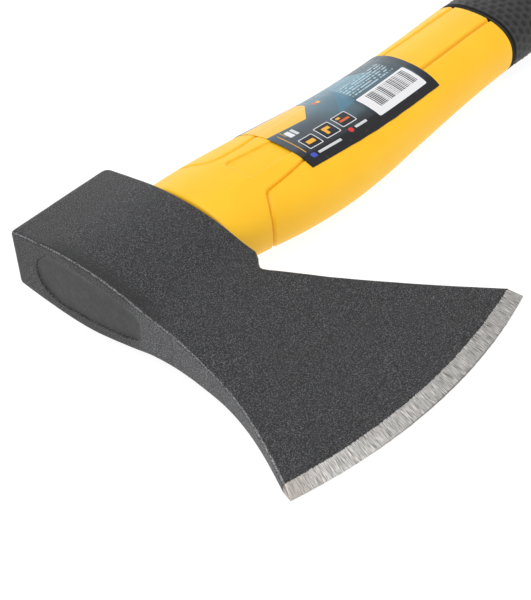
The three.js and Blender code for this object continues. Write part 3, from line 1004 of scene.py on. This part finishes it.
class Print(Surface):
    """A surface with flat printed shapes, placed in millimetres on its UV map."""

    def __init__(self, name, ground):
        super().__init__(name, specular=0.3)
        self.at = self.uv()
        self.along = self.node("SeparateXYZ", {}, self.at)
        self.round = self.node("SeparateXYZ", {}, self.at, output=1)
        self.ink = ground

    def box(self, low, high, corner=0.0):
        """Mask of a box between two (along, round) points. corner is the radius at its corners."""
        middle = ((low[0] + high[0]) / 2, (low[1] + high[1]) / 2, 0)
        half = (abs(high[0] - low[0]) / 2 - corner, abs(high[1] - low[1]) / 2 - corner, 1e3)
        out = self.vector("ABSOLUTE", self.vector("SUBTRACT", self.at, middle))
        over = self.vector("SUBTRACT", out, half)
        gap = self.vector("LENGTH", self.vector("MAXIMUM", over, (0, 0, 0)), output=1)
        return self.ramp(gap, corner + 0.06, corner)

    def side(self, way, beyond, soft=0.1):
        """Mask of everything further than beyond along the way."""
        reach = self.vector("DOT_PRODUCT", self.at, (*way, 0), output=1)
        return self.ramp(reach, beyond - soft, beyond + soft)

    def facet(self, *corners):
        """Mask of a flat shape with straight sides, whose corners go round it one way."""
        middle = np.mean(corners, axis=0)
        mask = None
        for first, last in zip(corners, corners[1:] + corners[:1]):
            inwards = np.array([first[1] - last[1], last[0] - first[0]])
            inwards = inwards / np.linalg.norm(inwards)
            if inwards @ (middle - first) < 0:
                inwards = -inwards
            side = self.side(tuple(inwards.tolist()), float(inwards @ np.array(first)), 0.15)
            mask = side if mask is None else self.both(mask, side)
        return mask

    def frame(self, low, high, line, corner=0.5):
        """Mask of the border of a box."""
        outer = self.box(low, high, corner)
        inner = self.box((low[0] + line, low[1] + line), (high[0] - line, high[1] - line), corner * 0.6)
        return self.math("SUBTRACT", outer, inner)

    def rows(self, pitch, share, word):
        """Mask of rows of dashes, like lines of small print too small to read."""
        line = self.math("DIVIDE", self.round, pitch)
        number = self.math("FLOOR", line)
        inside = self.ramp(self.math("FRACT", line), share, share - 0.12)
        words, row_seed = self.math("DIVIDE", self.along, word), self.math("MULTIPLY", number, 7.3)
        where = self.node("CombineXYZ", {}, words, row_seed, 0.0)
        return self.both(inside, self.ramp(self.noise(where, 1.0, 1.0), 0.42, 0.47))

    def paint(self, mask, ink, strength=1.0):
        if strength != 1.0:
            mask = self.both(mask, strength)
        self.ink = self.mix(mask, self.ink, ink)

    def block(self, low, high, ink, strength=1.0, corner=0.2):
        self.paint(self.box(low, high, corner), ink, strength)


SLATE = colour(72, 80, 88)
WHITE = colour(236, 238, 240)
AMBER = colour(240, 176, 60)
BLACK = colour(30, 30, 34)
TEAL = colour(88, 128, 144)
ORANGE = colour(214, 96, 48)
PALE_BLUE = colour(186, 210, 220)


def paint_ground(film):
    """Lighter and bluer over the back, partly in the print and partly a painted sheen; dark down the front,
    with large facets and a blank amber tab.
    """
    # Lighter and bluer over the back: partly print, partly a painted sheen.
    film.paint(film.ramp(film.round, 2, -16), colour(106, 134, 150))
    film.paint(film.both(film.side((1, 0.3), 108, 6), film.ramp(film.round, 12, -4)), TEAL, 0.55)
    wedge = film.both(film.side((-0.96, 0.28), -117.5), film.side((0.55, -0.83), 64.5))
    film.paint(wedge, colour(78, 112, 128), 0.35)
    band = film.both(film.side((0.5, -0.86), 62, 0.2), film.side((0.93, 0.36), 111, 0.2))
    film.paint(band, colour(112, 156, 174), 0.5)
    corner = film.both(film.side((1, 0), 121, 0.4), film.side((0.2, 0.98), 22, 2))
    film.paint(corner, colour(58, 76, 88), 0.7)
    film.paint(film.side((0, 1), 7.5, 2.0), BLACK, 0.7)
    film.paint(film.side((0, 1), 10.6, 0.6), BLACK)
    film.paint(film.side((1, 0), 150.8, 0.5), BLACK, 0.75)
    blue_facet = film.facet((123.3, -10.0), (122.6, 1.0), (112.6, 2.4))
    film.paint(blue_facet, colour(70, 124, 150), 0.62)
    dark_facet = film.facet((134, -17), (155, -24), (155, 1.5), (146, 1.0))
    film.paint(dark_facet, colour(62, 72, 80), 0.8)
    tab = film.both(film.side((-1, 0), -110.5, 0.06), film.side((0.06, -1), 10.2, 0.06))
    tab = film.both(tab, film.side((-0.72, -0.69), -71.3, 0.06))
    film.paint(film.both(tab, film.side((0, 1), -17.2, 0.06)), colour(248, 190, 64))


def paint_icons(film):
    """A thin rule, a title bar and three framed icons, then a row with two small marks and two bars."""
    film.block((88.4, -3.2), (88.7, 9.6), AMBER, 0.9, 0.0)
    film.block((91, -3.0), (93.1, 0.6), WHITE, 0.9)
    film.block((93.7, -3.0), (95.0, 0.6), WHITE, 0.75)
    film.block((90.2, -4.2), (90.6, -1.0), AMBER, 0.5, 0.0)
    for low, high in (((90.9, 3.5), (97.1, 9.4)), ((99, 2.4), (105.9, 9.1)), ((107.6, 2.2), (114.6, 8.4))):
        film.block(low, high, BLACK, 0.85, 0.5)
        film.paint(film.frame(low, high, 0.32), WHITE, 0.9)
    film.block((92.3, 5.6), (95.7, 7.4), AMBER, 1.0, 0.3)
    film.block((101, 4.2), (102.3, 7.6), AMBER)
    film.block((101, 4.2), (104.2, 5.6), AMBER)
    film.block((108.8, 5.2), (113.4, 6.2), ORANGE, 1.0, 0.3)
    film.block((108.8, 3.4), (110.6, 4.4), AMBER, 1.0, 0.3)
    film.block((88.8, 11.0), (90.8, 13.0), colour(70, 84, 190), 1.0, 0.5)
    film.block((92, 11.5), (102.6, 12.5), WHITE, 0.75)
    film.block((107.8, 9.8), (109.8, 11.8), colour(216, 60, 56), 1.0, 0.95)
    film.block((111, 10.2), (116.8, 11.2), WHITE, 0.75)


def paint_print(film):
    """Rows of dashes in place of small print, and a white panel with plain bars."""
    print_rows = film.both(film.rows(1.45, 0.55, 0.9), film.box((123.6, -9.6), (147, -0.8)))
    film.paint(print_rows, PALE_BLUE, 0.75)
    upper_rows = film.both(film.rows(1.3, 0.5, 0.9), film.box((112, -27), (150, -11.5)))
    film.paint(upper_rows, PALE_BLUE, 0.22)
    film.block((112.2, -10.4), (113.6, -8.8), ORANGE)
    film.block((113.8, -10.2), (115.2, -8.6), AMBER)
    film.block((122.6, 1.0), (150.1, 12.4), colour(232, 232, 234), 1.0, 0.7)
    stripe = film.math("DIVIDE", film.along, 0.85)
    chance = film.node("TexWhiteNoise", {"noise_dimensions": "1D"}, None, film.math("FLOOR", stripe))
    share = film.ramp(chance, 0.0, 1.0, 0.2, 0.66)
    over = film.math("SUBTRACT", film.math("FRACT", stripe), share)
    bars = film.both(film.ramp(over, 0.06, -0.06), film.box((126.2, 1.9), (148.2, 9.4)))
    film.paint(bars, colour(40, 40, 44))


def printed_film():
    """The label's print: a slate ground with generic shapes, bars and icons, and no lettering."""
    film = Print("printed_film", SLATE)
    paint_ground(film)
    paint_icons(film)
    paint_print(film)
    worn = film.noise(film.place, 2.4, 4.0, 0.65)
    film.paint(film.ramp(worn, 0.62, 0.74, 0.0, 0.12), colour(190, 190, 190))
    film.set("Base Color", film.ink)
    film.set("Roughness", film.ramp(worn, 0.3, 0.7, 0.3, 0.42))
    film.set("Normal", film.bump(film.noise(film.place, 3.5, 3.0), 0.03))
    return film.material


FLOOR_HALF_SIZE = 3.0
FLOOR_GLOW = 0.92


def pale_floor():
    """A matt floor that glows, so that it is pale and the shadows on it are faint."""
    look = Surface("pale_floor", specular=0.2)
    clouds = look.ramp(look.noise(look.place, 30, 2.0), 0.3, 0.7)
    look.set("Base Color", look.mix(clouds, colour(112, 112, 112), colour(118, 118, 118)))
    look.set("Roughness", 0.9)
    look.set("Emission Color", (1, 1, 1, 1))
    look.set("Emission Strength", FLOOR_GLOW)
    return look.material


# ---- Camera, floor and light ----
CAMERA_TARGET = (35.13, -78.86, 0.0)
CAMERA_AZIMUTH = -46.27
CAMERA_ELEVATION = 41.51
CAMERA_ROLL = -3.66
CAMERA_DISTANCE = 482.67
CAMERA_LENS = 91.88
LONG_SIDE = 36.0

# Lights as name, direction from the axe, distance and size in metres, and power in watts.
SOFT_BOXES = (
    ("back", (0.54, 0.70, 0.30), 1.3, 1.0, 3.4),
    ("key", (-0.4, -0.2, 1.0), 1.4, 1.3, 9.5),
)
WORLD_STRENGTH = 0.70


def add_camera():
    """The camera looks at a point on the axe's mid plane. Its angles are in the axe's frame."""
    angles = (CAMERA_AZIMUTH, CAMERA_ELEVATION, CAMERA_ROLL)
    azimuth, elevation, roll = (math.radians(angle) for angle in angles)
    level_way = math.cos(elevation) * np.array([math.sin(azimuth), -math.cos(azimuth), 0])
    back = level_way + (0, 0, math.sin(elevation))
    level = np.cross(-back, (0, 0, 1))
    level /= np.linalg.norm(level)
    upright = np.cross(level, -back)
    right = math.cos(roll) * level + math.sin(roll) * upright
    up = -math.sin(roll) * level + math.cos(roll) * upright
    data = bpy.data.cameras.new("camera")
    data.lens = CAMERA_LENS
    data.sensor_width = LONG_SIDE
    data.sensor_fit = "AUTO"
    data.clip_start, data.clip_end = 0.01, 20
    camera = add_object("camera", data)
    turned = [Vector(axis @ AXES) for axis in (right, up, back)]
    matrix = Matrix(turned).transposed().to_4x4()
    matrix.translation = Vector(place(np.array(CAMERA_TARGET) + back * CAMERA_DISTANCE))
    camera.matrix_world = matrix
    bpy.context.scene.camera = camera


def add_floor():
    low, high = cad_box
    middle = (low + high) / 2
    half = FLOOR_HALF_SIZE
    signs = ((-1, -1), (1, -1), (1, 1), (-1, 1))
    corners = [(middle.x + half * a, middle.y + half * b, low.z) for a, b in signs]
    mesh = bpy.data.meshes.new("floor")
    mesh.from_pydata(corners, [], [(0, 1, 2, 3)])
    mesh.materials.append(pale_floor())
    floor = add_object("floor", mesh)


def add_soft_box(name, direction, distance, size, power):
    """A square light that faces the middle of the axe."""
    data = bpy.data.lights.new(name, "AREA")
    data.shape = "SQUARE"
    data.size = size
    data.energy = power
    light = add_object(name, data)
    low, high = cad_box
    way = Vector(direction).normalized()
    light.location = (low + high) / 2 + way * distance
    light.rotation_mode = "QUATERNION"
    light.rotation_quaternion = way.to_track_quat("Z", "Y")


def add_light():
    world = bpy.data.worlds.new("studio")
    world.use_nodes = True
    background = world.node_tree.nodes["Background"]
    background.inputs["Color"].default_value = (1, 1, 1, 1)
    background.inputs["Strength"].default_value = WORLD_STRENGTH
    bpy.context.scene.world = world
    for box in SOFT_BOXES:
        add_soft_box(*box)
    bpy.context.scene.view_settings.view_transform = "Standard"


# ---- Assembly ----
add_camera()
add_floor()
add_light()
axe_head()
eye_resin()
handle_jacket()
rubber_grip()
wrap_label()
core = frame["nodes"]["handle_core"]
core.data.materials.clear()
core.data.materials.append(glass_fibre())
